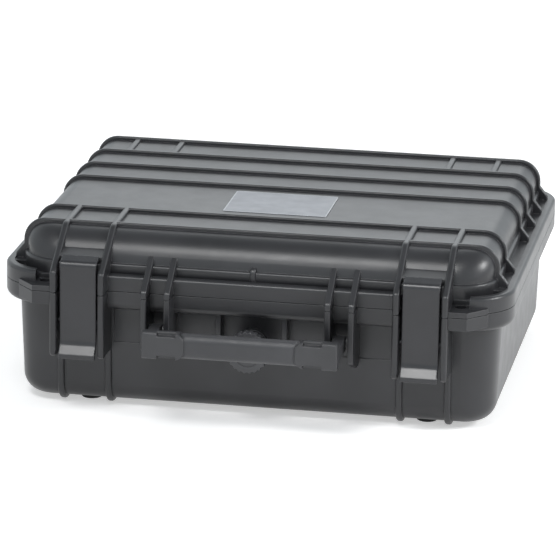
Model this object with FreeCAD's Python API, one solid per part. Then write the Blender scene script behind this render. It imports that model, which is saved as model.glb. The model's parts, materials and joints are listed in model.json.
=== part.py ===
import FreeCAD, Part
import math
import os

# Moulded instrument case: base, hinged lid, draw latches, carry handle, relief valve and foam set.
# Lengths in millimetres. +X runs along the front, +Y to the hinges, +Z up, the ground is at 0.
# Y counts from the middle of the rim until the finished solids move to the part's own frame.
# "Proud" sizes count forward from the rim's front face, "above lid" sizes up from the lid's lower face.

Vector = FreeCAD.Vector

# Fits and cuts
fixed_fit = 0.02
running_fit = 0.05
overrun = 2.0
corner_span_share = 0.49
round_limit_share = 0.45
edge_limit_share = 0.95
wall_root_share = 0.55

# Rim shared by base and lid
rim_width = 430.0
rim_depth = 362.4
rim_corner = 40.0
split_height = 106.7
split_gap = 0.5
base_rim_height = 16.2
base_rim_round = 6.5
lid_rim_height = 13.3
lid_rim_round = 3.0

# Base shell
base_side_setback = 10.75
base_front_setback = 14.2
base_corner = 30.0
base_wall = 4.0
base_floor = 4.0
base_bottom_round = 16.5
wall_draft_degrees = 2.2
base_rib_proud = 3.2
base_rib_width = 5.8
base_rib_round = 2.2
front_panel_recess = 0.9
front_panel_low_below_split = 48.2
front_panel_end_gap = 2.45

# Lid shell
lid_height = 44.5
dome_side_setback = 16.8
dome_front_setback = 13.2
dome_corner = 33.0
dome_front_round = 28.5
dome_side_round = 16.0
lid_wall = 3.5
bead_proud = 2.5
bead_above_lid = 20.4
bead_round = 2.2
lip_width = 7.0
gutter_above_lid = 8.5
side_gutter_above_lid = 12.4
gutter_turn = 18.0
top_rib_proud = 3.2
top_rib_width = 4.6
top_rib_round = 1.5
front_rib_setback = 29.2
rear_rib_setback = 26.4
top_rib_pitch = 45.6
front_rib_count = 2
rear_rib_count = 4
cross_rib_proud = 2.0
rib_foot_top_above_lid = 24.8
rib_foot_end_above_lid = 16.2
rib_foot_overlap = 0.4
nub_width = 5.0
nub_low_above_lid = 11.8
nub_top_above_lid = 24.0
nub_proud = -8.5
nub_round = 1.6

# Seal between lid and base
groove_inset = 10.5
groove_width = 4.5
groove_depth = 5.0
seal_height = 3.4
seal_side_gap = 0.1
tongue_width = 2.5
tongue_gap = 0.3

# Name plate on the lid
name_plate_width = 88.8
name_plate_depth = 65.6
name_plate_middle = -41.8
name_plate_thickness = 0.9
name_plate_recess = 0.5
name_plate_corner = 2.0
name_plate_gap = 0.2

# Feet
foot_proud = 1.2
foot_radius = 9.0
foot_round = 1.4
foot_setback = 30.0

# Latch ribs, pocket and keeper
latch_from_end = 71.5
flank_spacing = 40.6
flank_thickness = 5.5
flank_proud = 15.7
flank_knee_above_lid = 17.6
flank_low_below_split = 55.3
flank_end_round = 4.0
flank_bend_setback = 20.5
flank_bend_round = 12.0
flank_round = 2.0
pocket_depth = 5.5
keeper_proud = 3.0
keeper_low_above_lid = 13.8
keeper_top_above_lid = 23.2
keeper_step = 4.3
keeper_rise = 3.4
keeper_round = 0.8

# Latch lever
lever_width = 31.0
lever_proud = 10.2
lever_thickness = 2.8
lever_shoulder_above_keeper = 1.6
lever_shoulder_round = 5.0
claw_gap = 0.3
claw_tip_setback = 2.05
claw_tip_gap = 0.35
claw_back_above_keeper = 5.8
claw_round = 0.8
lip_start_below_split = 43.7
lip_low_below_split = 56.2
lip_face = 4.0
lip_proud = 16.8
lip_back_proud = 13.3
lip_bend_round = 9.0
lever_edge_round = 0.7
cheek_thickness = 2.6
cheek_radius = 4.2
cheek_seat = 1.0
cheek_top_above_split = 9.3
cheek_low_below_split = 20.7

# Latch link and pins
link_radius = 3.8
link_side_gap = 0.4
link_pivot_proud = 3.2
link_pivot_below_split = 25.7
lever_pivot_proud = -0.4
lever_pivot_above_split = 1.0
latch_pin_radius = 1.8

# Padlock ears
ear_proud = 12.5
ear_reach = 15.4
ear_chamfer_width = 15.0
ear_chamfer_depth = 16.5
ear_top_above_lid = 4.4
ear_low_below_split = 10.7
ear_root = 12.0
padlock_from_flank = 7.75
padlock_setback = 4.8
padlock_radius = 5.0

# Hinges
hinge_setback = 8.0
knuckle_radius = 7.0
hinge_pin_radius = 2.5
lid_knuckle_length = 24.0
base_knuckle_length = 8.0
knuckle_gap = 0.5
knuckle_root = 4.0
knuckle_web_drop = 20.0
lid_web_rise = 11.0

# Handle ribs
handle_x = 77.0
handle_rib_spacing = 19.7
handle_rib_thickness = 5.0
handle_rib_proud = 17.2
handle_knee_above_lid = 5.4
handle_rib_top_above_lid = 28.1
handle_rib_top_setback = 16.4
handle_rib_front_low_below_split = 43.7
handle_rib_wall_low_below_split = 53.7
handle_rib_round = 1.1

# Handle
handle_pivot_proud = 4.6
handle_pivot_below_split = 29.2
handle_pin_radius = 2.5
handle_reach = 49.2
bar_depth = 13.3
bar_height = 22.4
bar_round = 1.4
bar_back_round = 5.0
block_inner_x = 45.5
block_inner_round = 9.0
block_notch_x = 60.6
block_notch_width = 16.0
block_notch_height = 3.0
block_notch_depth = 5.0
arm_gap = 3.0
arm_radius = 5.4
arm_boss_radius = 4.6
arm_boss_gap = 0.4
arm_root_height = 13.0
core_height = 13.0
core_depth = 6.0
core_round = 1.5
grip_end_x = 52.0
grip_height = 20.9
grip_depth = 12.9
grip_round = 6.0

# Relief valve
valve_below_split = 41.5
valve_boss_radius = 13.0
valve_boss_proud = -11.0
valve_inner_seat_proud = -21.5
valve_inner_boss_radius = 15.0
valve_gasket_thickness = 1.2
valve_flange_radius = 11.5
valve_flange_thickness = 4.0
valve_neck_radius = 8.0
valve_neck_proud = 5.6
valve_neck_tail = 7.5
valve_nut_radius = 12.5
valve_nut_thickness = 5.0
valve_nut_sides = 6
stem_radius = 3.9
stem_collar_radius = 7.0
stem_collar_thickness = 1.0
stem_ring_thickness = 1.2
stem_tail = 26.0
stem_lap = 2.4
knob_radius = 17.8
knob_proud = 12.3
knob_disc_thickness = 7.0
knob_hub_radius = 11.0
knob_flange_gap = 0.5
knob_collar_gap = 0.3
knob_scallop_count = 24
knob_scallop_radius = 1.9
knob_scallop_depth = 1.1
knob_face_round = 0.8
knob_dish_radius = 12.0
knob_dish_depth = 0.8
guard_x = 27.8
guard_width = 5.2
guard_proud = -4.0
guard_low_below_split = 54.7
guard_round = 0.9

# Foam set
foam_gap = 0.4
pad_thickness = 10.0
pluck_headroom = 3.0
pluck_cell = 15.0
pocket_columns = 13
pocket_rows = 8
pocket_depth_cells = 4
nut_room = 3.0
lid_foam_thickness = 33.0

# Places worked out from the sizes above
rim_front = -rim_depth / 2
rim_back = rim_depth / 2
base_width = rim_width - 2 * base_side_setback
base_depth = rim_depth - 2 * base_front_setback
dome_width = rim_width - 2 * dome_side_setback
dome_depth = rim_depth - 2 * dome_front_setback
front_rib_reach = dome_depth / 2 - front_rib_setback
rear_rib_reach = dome_depth / 2 - rear_rib_setback
flank_bend_reach = dome_depth / 2 - flank_bend_setback
foot_reach = base_depth / 2 - foot_setback
latch_x = rim_width / 2 - latch_from_end
lid_low = split_height + split_gap
lid_top = lid_low + lid_height
rib_low = lid_low + gutter_above_lid - top_rib_round
base_low = foot_proud + base_rib_proud
base_rim_low = split_height - base_rim_height
front_panel_low = split_height - front_panel_low_below_split
flank_low = split_height - flank_low_below_split
lip_start = split_height - lip_start_below_split
lip_low = split_height - lip_low_below_split
cheek_low = split_height - cheek_low_below_split
link_pivot_height = split_height - link_pivot_below_split
ear_low = split_height - ear_low_below_split
handle_rib_front_low = split_height - handle_rib_front_low_below_split
handle_rib_wall_low = split_height - handle_rib_wall_low_below_split
handle_pivot_height = split_height - handle_pivot_below_split
valve_height = split_height - valve_below_split
guard_low = split_height - guard_low_below_split
cheek_top = split_height + cheek_top_above_split
lever_pivot_height = split_height + lever_pivot_above_split
draft = math.tan(math.radians(wall_draft_degrees))
flank_xs = [latch_x - flank_spacing / 2, latch_x + flank_spacing / 2]
flank_outer = flank_xs[1] + flank_thickness / 2
flank_inner = flank_xs[0] - flank_thickness / 2
ear_outer = flank_outer + ear_reach
padlock_x = flank_outer + padlock_from_flank
front_panel_half_width = flank_inner - front_panel_end_gap
handle_rib_xs = [handle_x - handle_rib_spacing / 2, handle_x + handle_rib_spacing / 2]
arm_thickness = handle_rib_spacing - handle_rib_thickness - 2 * arm_gap
handle_outer_x = handle_x + arm_thickness / 2
hinge_y = rim_back + hinge_setback
hinge_z = split_height + split_gap / 2
hinge_length = lid_knuckle_length + 2 * (knuckle_gap + base_knuckle_length)
keeper_top = lid_low + keeper_top_above_lid
front_reach = rim_depth / 2 + handle_reach
back_reach = rim_depth / 2 + hinge_setback + knuckle_radius
frame_shift = Vector(0, (front_reach - back_reach) / 2, 0)
sides = {"left": -1, "right": 1}


def ahead(proud):
    """Y of a place that stands this far in front of the rim's front face."""
    return rim_front - proud


def at_plane(across, u, v, station):
    """Point from its two flat coordinates in the plane square to one axis."""
    if across == "x":
        return Vector(station, u, v)
    if across == "y":
        return Vector(u, station, v)
    return Vector(u, v, station)


def leg_room(leg, neighbour_radius):
    """Length of one leg that a corner's arc may take, less where the leg's other end is round too."""
    return leg.Length * (corner_span_share if neighbour_radius > 0 else edge_limit_share)


def corner_wire(corners, across, station):
    """Closed wire through corners (u, v, radius), each rounded by its own tangent arc."""
    flat = [Vector(u, v, 0) for u, v, radius in corners]
    radii = [radius for u, v, radius in corners]
    edges = []
    ends = []
    for index, radius in enumerate(radii):
        following = (index + 1) % len(corners)
        back = flat[index - 1] - flat[index]
        on = flat[following] - flat[index]
        room = min(leg_room(back, radii[index - 1]), leg_room(on, radii[following]))
        back.normalize()
        on.normalize()
        half_angle = back.getAngle(on) / 2
        reach = min(radius / math.tan(half_angle), room)
        arc_radius = reach * math.tan(half_angle)
        start = flat[index] + back * reach
        end = flat[index] + on * reach
        middle = flat[index] + (back + on).normalize() * (arc_radius / math.sin(half_angle) - arc_radius)
        ends.append((start, middle, end, radius > 0))
    for index, (start, middle, end, rounded) in enumerate(ends):
        last = ends[index - 1][2]
        points = [at_plane(across, p.x, p.y, station) for p in (last, start, middle, end)]
        edges.append(Part.LineSegment(points[0], points[1]).toShape())
        if rounded:
            edges.append(Part.Arc(points[1], points[2], points[3]).toShape())
    return Part.Wire(edges)


def direction(across, length):
    """Vector of one length along one axis."""
    return at_plane(across, 0, 0, length)


def slab(corners, across, middle, thickness, edge_round=0):
    """Flat piece of one outline, with the edges of its two broad faces rounded."""
    low = middle - thickness / 2
    solid = Part.Face(corner_wire(corners, across, low)).extrude(direction(across, thickness))
    if edge_round > 0:
        broad = [face for face in solid.Faces if across_face(face, across)]
        edges = [edge for face in broad for edge in face.Edges]
        solid = solid.makeFillet(min(edge_round, round_limit_share * thickness), edges)
    return solid


def across_face(face, across):
    """True for a flat face that is square to the named axis."""
    box = face.BoundBox
    return {"x": box.XLength, "y": box.YLength, "z": box.ZLength}[across] < face.Tolerance * 2


def box_between(low, high):
    """Block between two opposite corners."""
    return Part.makeBox(high.x - low.x, high.y - low.y, high.z - low.z, low)


def section_about(u, v, width, height, radius):
    """Corners of a rectangle about one point, with one radius."""
    half_u = width / 2
    half_v = height / 2
    return [
        (u - half_u, v - half_v, radius),
        (u + half_u, v - half_v, radius),
        (u + half_u, v + half_v, radius),
        (u - half_u, v + half_v, radius),
    ]


def block(width, depth, radius, low, high):
    """Upright rounded block about the middle."""
    return slab(section_about(0, 0, width, depth, radius), "z", (low + high) / 2, high - low)


def level_edges(solid, level):
    """Edges of the flat face at one height."""
    faces = [face for face in solid.Faces if across_face(face, "z")]
    nearest = min(faces, key=lambda face: abs(face.CenterOfMass.z - level))
    return nearest.Edges


def rounded_block(width, depth, radius, low, high, top_round=0, low_round=0):
    """Upright rounded block whose top or bottom edge is rounded too."""
    solid = block(width, depth, radius, low, high)
    limit = edge_limit_share * min(radius, high - low)
    if top_round > 0:
        solid = solid.makeFillet(min(top_round, limit), level_edges(solid, high))
    if low_round > 0:
        solid = solid.makeFillet(min(low_round, limit), level_edges(solid, low))
    return solid


def drafted_block(inset, low, high, low_round):
    """Base form, set in from its outer wall and drawn in towards the ground, between two heights."""
    wires = []
    for level in (low, high):
        draw = inset + (base_rim_low - level) * draft
        outline = section_about(0, 0, base_width - 2 * draw, base_depth - 2 * draw, base_corner - draw)
        wires.append(corner_wire(outline, "z", level))
    solid = Part.makeLoft(wires, True, True)
    limit = edge_limit_share * min(base_corner - draft * (base_rim_low - low) - inset, high - low)
    return solid.makeFillet(min(low_round, limit), level_edges(solid, low))


def ring(inset, width, low, high):
    """Band that follows the rim's outline."""
    outer = block(rim_width - 2 * inset, rim_depth - 2 * inset, rim_corner - inset, low, high)
    within = inset + width
    inner = block(
        rim_width - 2 * within,
        rim_depth - 2 * within,
        rim_corner - within,
        low - overrun,
        high + overrun,
    )
    return outer.cut(inner)


def rod(axis, middle, radius, length):
    """Round bar about its middle point."""
    along = direction(axis, 1)
    return Part.makeCylinder(radius, length, middle - along * (length / 2), along)


def rod_between(radius, start_y, end_y, z, x=0):
    """Round bar along Y between two places."""
    return Part.makeCylinder(radius, end_y - start_y, Vector(x, start_y, z), Vector(0, 1, 0))


def base_half_depth(level):
    """Half the base's outer depth at one height."""
    return base_depth / 2 - (base_rim_low - level) * draft


def base_rib(x):
    """Rib that runs down the front, under the floor and up the back."""
    top = base_rim_low + base_rim_round
    low = foot_proud
    high_y = base_half_depth(top) + base_rib_proud
    low_y = base_half_depth(low) + base_rib_proud
    bend = base_bottom_round + base_rib_proud
    corners = [(-high_y, top, 0), (-low_y, low, bend), (low_y, low, bend), (high_y, top, 0)]
    return slab(corners, "x", x, base_rib_width, base_rib_round)


def base_flank(x):
    """Latch rib on the base, from the split down to the finger lip's height."""
    root = -base_depth / 2 + wall_root_share * base_wall
    corners = [
        (root, split_height, 0),
        (root, flank_low, 0),
        (ahead(flank_proud), flank_low, flank_end_round),
        (ahead(flank_proud), split_height, 0),
    ]
    return slab(corners, "x", x, flank_thickness, flank_round)


def lid_flank(x):
    """Latch rib on the lid, from the second top rib over the front down to the split."""
    crest = lid_top + top_rib_proud
    back = -front_rib_reach + top_rib_pitch
    root = -dome_depth / 2 + lid_wall
    corners = [
        (back, crest, 0),
        (back, lid_top - lid_wall, 0),
        (root + dome_front_round, lid_top - lid_wall, 0),
        (root, lid_top - dome_front_round, 0),
        (root, lid_low, 0),
        (ahead(flank_proud), lid_low, 0),
        (ahead(flank_proud), lid_low + flank_knee_above_lid, flank_end_round),
        (-flank_bend_reach, crest, flank_bend_round),
    ]
    return slab(corners, "x", x, flank_thickness, flank_round)


def lid_rear_rib(x):
    """Cross rib between the two rearmost top ribs, carried down the back to the rim."""
    crest = lid_top + cross_rib_proud
    outer = dome_depth / 2 + cross_rib_proud
    front = rear_rib_reach - top_rib_pitch
    corners = [
        (front, crest, 0),
        (outer, crest, dome_front_round + cross_rib_proud),
        (outer, rib_low, 0),
        (dome_depth / 2 - lid_wall, rib_low, 0),
        (dome_depth / 2 - lid_wall, lid_top - dome_front_round, 0),
        (dome_depth / 2 - dome_front_round, lid_top - lid_wall, 0),
        (front, lid_top - lid_wall, 0),
    ]
    return slab(corners, "x", x, flank_thickness, top_rib_round)


def lid_handle_rib(x):
    """Rib above the handle, from the lid's rounded front down to the split."""
    root = -dome_depth / 2 + lid_wall
    corners = [
        (ahead(-handle_rib_top_setback), lid_low + handle_rib_top_above_lid, 0),
        (root, lid_low, 0),
        (ahead(handle_rib_proud), lid_low, 0),
        (ahead(handle_rib_proud), lid_low + handle_knee_above_lid, flank_end_round),
    ]
    return slab(corners, "x", x, handle_rib_thickness, handle_rib_round)


def base_handle_rib(x):
    """Rib that carries the handle's pin, tapering back to the wall at its lower end."""
    root = -base_depth / 2 + wall_root_share * base_wall
    corners = [
        (root, split_height, 0),
        (root, handle_rib_wall_low, 0),
        (ahead(-pocket_depth), handle_rib_wall_low, flank_end_round),
        (ahead(handle_rib_proud), handle_rib_front_low, flank_end_round),
        (ahead(handle_rib_proud), split_height, 0),
    ]
    return slab(corners, "x", x, handle_rib_thickness, handle_rib_round)


def top_ribs():
    """Ribs across the lid, each drawn out to a foot on the rim at both ends."""
    half = dome_width / 2 + top_rib_proud
    foot_end = rim_width / 2 - lip_width + rib_foot_overlap
    right_end = [
        (foot_end, rib_low, 0),
        (foot_end, lid_low + rib_foot_end_above_lid, 0),
        (half, lid_low + rib_foot_top_above_lid, 0),
        (half, lid_top + top_rib_proud, dome_side_round + top_rib_proud),
    ]
    corners = right_end + [(-u, v, radius) for u, v, radius in reversed(right_end)]
    stations = [-front_rib_reach + index * top_rib_pitch for index in range(front_rib_count)]
    stations += [rear_rib_reach - index * top_rib_pitch for index in range(rear_rib_count)]
    return [slab(corners, "y", station, top_rib_width, top_rib_round) for station in stations]


def ear(side, low, high):
    """Padlock ear outside one latch, with its outer corner cut off."""
    inner = flank_xs[1]
    corners = [
        (side * inner, ahead(ear_proud), 0),
        (side * ear_outer, ahead(ear_proud), 0),
        (side * (ear_outer + ear_chamfer_width), ahead(ear_proud - ear_chamfer_depth), 0),
        (side * (ear_outer + ear_chamfer_width), ahead(-ear_root), 0),
        (side * inner, ahead(-ear_root), 0),
    ]
    return slab(corners, "z", (low + high) / 2, high - low)


def padlock_hole(side):
    """Upright hole through both padlock ears."""
    middle = Vector(side * padlock_x, ahead(-padlock_setback), split_height)
    return rod("z", middle, padlock_radius, 2 * (lid_rim_height + base_rim_height))


def latch_pocket(side, low, high):
    """Room for the latch between its two ribs."""
    half = flank_spacing / 2
    near = Vector(side * latch_x - half, ahead(flank_proud + overrun), low)
    far = Vector(side * latch_x + half, ahead(-pocket_depth), high)
    return box_between(near, far)


def keeper(side):
    """Ledge on the lid that the latch's claw holds down."""
    low = lid_low + keeper_low_above_lid
    step_y = ahead(-claw_tip_setback - claw_tip_gap)
    root = -dome_depth / 2 + lid_wall
    corners = [
        (ahead(keeper_proud), low, 0),
        (ahead(keeper_proud), keeper_top, keeper_round),
        (step_y, keeper_top, 0),
        (step_y, keeper_top + keeper_step, keeper_round),
        (root, keeper_top + keeper_step + keeper_rise, 0),
        (root, low, 0),
    ]
    return slab(corners, "x", side * latch_x, flank_spacing)


def knuckle(x, length, radius):
    """Round hinge barrel about the hinge's axis."""
    return rod("x", Vector(x, hinge_y, hinge_z), radius, length)


def base_knuckles(side):
    """Two barrels on the base with webs down to the rim."""
    pieces = []
    offset = lid_knuckle_length / 2 + knuckle_gap + base_knuckle_length / 2
    for way in sides.values():
        x = side * latch_x + way * offset
        corners = [
            (rim_back - knuckle_root, split_height, 0),
            (rim_back - knuckle_root, split_height - knuckle_web_drop, 0),
            (hinge_y + knuckle_radius, split_height - knuckle_radius, knuckle_radius / 2),
            (hinge_y + knuckle_radius, split_height, 0),
        ]
        pieces.append(slab(corners, "x", x, base_knuckle_length))
        pieces.append(knuckle(x, base_knuckle_length, knuckle_radius))
    return pieces


def lid_knuckle(side):
    """Middle barrel on the lid with its web up to the rim."""
    x = side * latch_x
    corners = [
        (rim_back - knuckle_root, lid_low, 0),
        (hinge_y + knuckle_radius, lid_low, 0),
        (hinge_y + knuckle_radius, lid_low + knuckle_radius, knuckle_radius / 2),
        (rim_back - knuckle_root, lid_low + lid_web_rise, 0),
    ]
    return [slab(corners, "x", x, lid_knuckle_length), knuckle(x, lid_knuckle_length, knuckle_radius)]


def valve_guard(side):
    """Upright rib beside the valve, hanging from the base's rim."""
    root = -base_depth / 2 + wall_root_share * base_wall
    corners = [
        (root, base_rim_low + base_rim_round, 0),
        (root, guard_low, 0),
        (ahead(guard_proud), guard_low, flank_end_round),
        (ahead(guard_proud), base_rim_low + base_rim_round, 0),
    ]
    return slab(corners, "x", side * guard_x, guard_width, guard_round)


def make_base_shell():
    """Lower shell with everything that is moulded on it."""
    body = drafted_block(0, base_low, split_height, base_bottom_round)
    panel_low = Vector(-front_panel_half_width, -base_depth / 2 - overrun, front_panel_low)
    panel_back = -base_half_depth(front_panel_low) + front_panel_recess
    panel_high = Vector(front_panel_half_width, panel_back, base_rim_low + base_rim_round)
    body = body.cut(box_between(panel_low, panel_high))
    rim = rounded_block(rim_width, rim_depth, rim_corner, base_rim_low, split_height, 0, base_rim_round)
    for side in sides.values():
        rim = rim.cut(latch_pocket(side, base_rim_low - overrun, split_height + overrun))
    pieces = [rim]
    for side in sides.values():
        pieces += [base_rib(side * x) for x in flank_xs]
        pieces += [base_flank(side * x) for x in flank_xs]
        pieces += [base_handle_rib(side * x) for x in handle_rib_xs]
        pieces += [ear(side, ear_low, split_height), valve_guard(side)]
        pieces += base_knuckles(side)
    wall_middle = -base_depth / 2 + wall_root_share * base_wall
    pieces.append(rod_between(valve_boss_radius, ahead(valve_boss_proud), wall_middle, valve_height))
    shell = body.fuse(pieces)
    cavity_round = base_bottom_round - base_wall
    cavity = drafted_block(base_wall, base_low + base_floor, split_height + overrun, cavity_round)
    shell = shell.cut(cavity)
    inner_seat = ahead(valve_inner_seat_proud)
    seat = rod_between(valve_inner_boss_radius, wall_middle, inner_seat, valve_height)
    tongue_height = split_gap + groove_depth - seal_height - tongue_gap
    tongue_inset = groove_inset + (groove_width - tongue_width) / 2
    tongue = ring(tongue_inset, tongue_width, split_height - overrun, split_height + tongue_height)
    shell = shell.fuse([seat, tongue])
    cuts = [rod_between(valve_neck_radius + fixed_fit, rim_front, inner_seat + overrun, valve_height)]
    for side in sides.values():
        cuts.append(padlock_hole(side))
        cuts.append(knuckle(side * latch_x, hinge_length + 2 * overrun, hinge_pin_radius + fixed_fit))
        pivot = Vector(side * latch_x, ahead(link_pivot_proud), link_pivot_height)
        bore_length = flank_spacing + flank_thickness + 2 * overrun
        cuts.append(rod("x", pivot, latch_pin_radius + fixed_fit, bore_length))
        pivot = Vector(side * handle_x, ahead(handle_pivot_proud), handle_pivot_height)
        bore_length = handle_rib_spacing + handle_rib_thickness + 2 * overrun
        cuts.append(rod("x", pivot, handle_pin_radius + fixed_fit, bore_length))
    return shell.cut(cuts).removeSplitter()


def dome(inset, low, top):
    """Crown of the lid, set in from its outside, with a larger round at front and back than at the sides."""
    depth = dome_depth - 2 * inset
    corner = dome_corner - inset
    solid = block(dome_width - 2 * inset, depth, corner, low, top)
    limit = edge_limit_share * min(corner, top - low)
    front_round = min(dome_front_round - inset, limit)
    side_round = min(dome_side_round - inset, limit)
    radii = []
    for number, edge in enumerate(solid.Edges, 1):
        ends = [edge.valueAt(edge.FirstParameter), edge.valueAt(edge.LastParameter)]
        if min(end.z for end in ends) > (low + top) / 2:
            beside = [abs(end.y) < (depth - corner) / 2 for end in ends]
            radii.append((number, *[side_round if side else front_round for side in beside]))
    return filleted(solid, radii)


def filleted(solid, radii):
    """Solid with some edges rounded, each by its number and the radii at its two ends."""
    sheet = FreeCAD.newDocument()
    plain = sheet.addObject("Part::Feature")
    plain.Shape = solid
    rounded = sheet.addObject("Part::Fillet")
    rounded.Base = plain
    rounded.Edges = radii
    sheet.recompute()
    finished = rounded.Shape.copy()
    FreeCAD.closeDocument(sheet.Name)
    return finished


def make_lid_shell():
    """Lid with rim, gutter, bead, ribs, keepers and hinge barrels."""
    rim_top = lid_low + lid_rim_height
    rim = rounded_block(rim_width, rim_depth, rim_corner, lid_low, rim_top, lid_rim_round)
    within = [rim_width - 2 * lip_width, rim_depth - 2 * lip_width, rim_corner - lip_width]
    side_gutter = block(*within, lid_low + side_gutter_above_lid, rim_top + overrun)
    gutter = block(*within, lid_low + gutter_above_lid, rim_top + overrun)
    gutter_start = dome_depth / 2 - gutter_turn
    beside_near = Vector(-rim_width / 2, -gutter_start, lid_low)
    beside_far = Vector(rim_width / 2, gutter_start, rim_top + 2 * overrun)
    rim = rim.cut([side_gutter, gutter.cut(box_between(beside_near, beside_far))])
    bead = rounded_block(
        dome_width + 2 * bead_proud,
        dome_depth + 2 * bead_proud,
        dome_corner + bead_proud,
        lid_low,
        lid_low + bead_above_lid,
        bead_round,
    )
    for side in sides.values():
        rim = rim.cut(latch_pocket(side, lid_low - overrun, lid_low + keeper_low_above_lid))
        notch_x = side * (ear_outer - ear_reach / 2)
        notch_low = Vector(notch_x - ear_reach / 2, ahead(ear_proud), lid_low + ear_top_above_lid)
        notch_high = Vector(notch_x + ear_reach / 2, ahead(-groove_inset), rim_top + overrun)
        rim = rim.cut(box_between(notch_low, notch_high))
    pieces = [rim, bead] + top_ribs()
    for side in sides.values():
        pieces += [lid_flank(side * x) for x in flank_xs]
        pieces += [lid_rear_rib(side * x) for x in flank_xs]
        pieces += [lid_handle_rib(side * x) for x in handle_rib_xs]
        pieces += [keeper(side), ear(side, lid_low, lid_low + ear_top_above_lid)]
        pieces += lid_knuckle(side)
    nub = [
        (ahead(nub_proud), lid_low + nub_low_above_lid, 0),
        (ahead(nub_proud), lid_low + nub_top_above_lid, nub_width),
        (-dome_depth / 2 + lid_wall, lid_low + nub_top_above_lid, 0),
        (-dome_depth / 2 + lid_wall, lid_low + nub_low_above_lid, 0),
    ]
    pieces.append(slab(nub, "x", 0, nub_width, nub_round))
    shell = dome(0, lid_low, lid_top).fuse(pieces)
    cuts = [
        dome(lid_wall, lid_low - overrun, lid_top - lid_wall),
        ring(groove_inset, groove_width, lid_low - overrun, lid_low + groove_depth),
        name_plate_block(name_plate_gap, lid_top - name_plate_recess, lid_top + overrun),
    ]
    for side in sides.values():
        cuts.append(padlock_hole(side))
        bore_length = lid_knuckle_length + 2 * overrun
        cuts.append(knuckle(side * latch_x, bore_length, hinge_pin_radius + running_fit))
    return shell.cut(cuts).removeSplitter()


def name_plate_block(gap, low, high):
    """Outline of the name plate between two heights, grown by a gap."""
    corner = name_plate_corner + gap
    solid = block(name_plate_width + 2 * gap, name_plate_depth + 2 * gap, corner, low, high)
    solid.translate(Vector(0, name_plate_middle, 0))
    return solid


def make_name_plate():
    """Bare thin plate in its recess on the lid."""
    low = lid_top - name_plate_recess
    return name_plate_block(0, low, low + name_plate_thickness)


def make_seal():
    """Soft ring at the top of the lid's groove."""
    width = groove_width - 2 * seal_side_gap
    top = lid_low + groove_depth
    return ring(groove_inset + seal_side_gap, width, top - seal_height, top)


def make_feet():
    """Four round feet between the bottom ribs."""
    feet = []
    for x in (-latch_x, latch_x):
        for y in (-foot_reach, foot_reach):
            foot = Part.makeCylinder(foot_radius, base_low, Vector(x, y, 0))
            feet.append(foot.makeFillet(foot_round, level_edges(foot, 0)))
    return Part.makeCompound(feet)


def make_lever(side):
    """Latch plate with claw, finger lip and two cheeks for its pin."""
    x = side * latch_x
    claw_low = keeper_top + claw_gap
    back = lever_proud - lever_thickness
    corners = [
        (ahead(lever_proud), keeper_top + lever_shoulder_above_keeper, lever_shoulder_round),
        (ahead(-claw_tip_setback), keeper_top + claw_back_above_keeper, claw_round),
        (ahead(-claw_tip_setback), claw_low, claw_round),
        (ahead(back), claw_low, claw_round),
        (ahead(back), lip_start, lip_bend_round),
        (ahead(lip_back_proud), lip_low, 0),
        (ahead(lip_proud), lip_low, claw_round),
        (ahead(lip_proud), lip_low + lip_face, claw_round),
        (ahead(lever_proud), lip_start, lip_bend_round),
    ]
    lever = slab(corners, "x", x, lever_width, lever_edge_round)
    cheek = [
        (ahead(back + cheek_seat), cheek_top, 0),
        (ahead(lever_pivot_proud - cheek_radius), lever_pivot_height + cheek_radius, cheek_radius),
        (ahead(lever_pivot_proud - cheek_radius), lever_pivot_height - cheek_radius, cheek_radius),
        (ahead(back + cheek_seat), cheek_low, 0),
    ]
    offset = lever_width / 2 - cheek_thickness / 2 - lever_edge_round
    cheeks = [slab(cheek, "x", x + way * offset, cheek_thickness) for way in sides.values()]
    pivot = Vector(x, ahead(lever_pivot_proud), lever_pivot_height)
    bore = rod("x", pivot, latch_pin_radius + fixed_fit, lever_width)
    return lever.fuse(cheeks).cut(bore).removeSplitter()


def make_link(side):
    """Flat link between the base's pin and the lever's pin."""
    x = side * latch_x
    width = lever_width - 2 * (cheek_thickness + lever_edge_round + link_side_gap)
    low = Vector(x, ahead(link_pivot_proud), link_pivot_height)
    high = Vector(x, ahead(lever_pivot_proud), lever_pivot_height)
    along = (high - low).normalize() * link_radius
    square = Vector(0, -along.z, along.y)
    corners = [low + square, high + square, high - square, low - square]
    flat = [(corner.y, corner.z, 0) for corner in corners]
    ends = [rod("x", place, link_radius, width) for place in (low, high)]
    bores = [rod("x", place, latch_pin_radius + running_fit, 2 * width) for place in (low, high)]
    return slab(flat, "x", x, width).fuse(ends).cut(bores).removeSplitter()


def make_latch_pins(side):
    """Pin of the link in the base's ribs, and pin of the lever in its cheeks."""
    low = Vector(side * latch_x, ahead(link_pivot_proud), link_pivot_height)
    high = Vector(side * latch_x, ahead(lever_pivot_proud), lever_pivot_height)
    lever_pin_length = lever_width - 2 * lever_edge_round
    return (
        rod("x", low, latch_pin_radius, flank_spacing + flank_thickness),
        rod("x", high, latch_pin_radius, lever_pin_length),
    )


def make_hinge_pin(side):
    """Steel pin through one hinge's three barrels."""
    return knuckle(side * latch_x, hinge_length, hinge_pin_radius)


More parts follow.
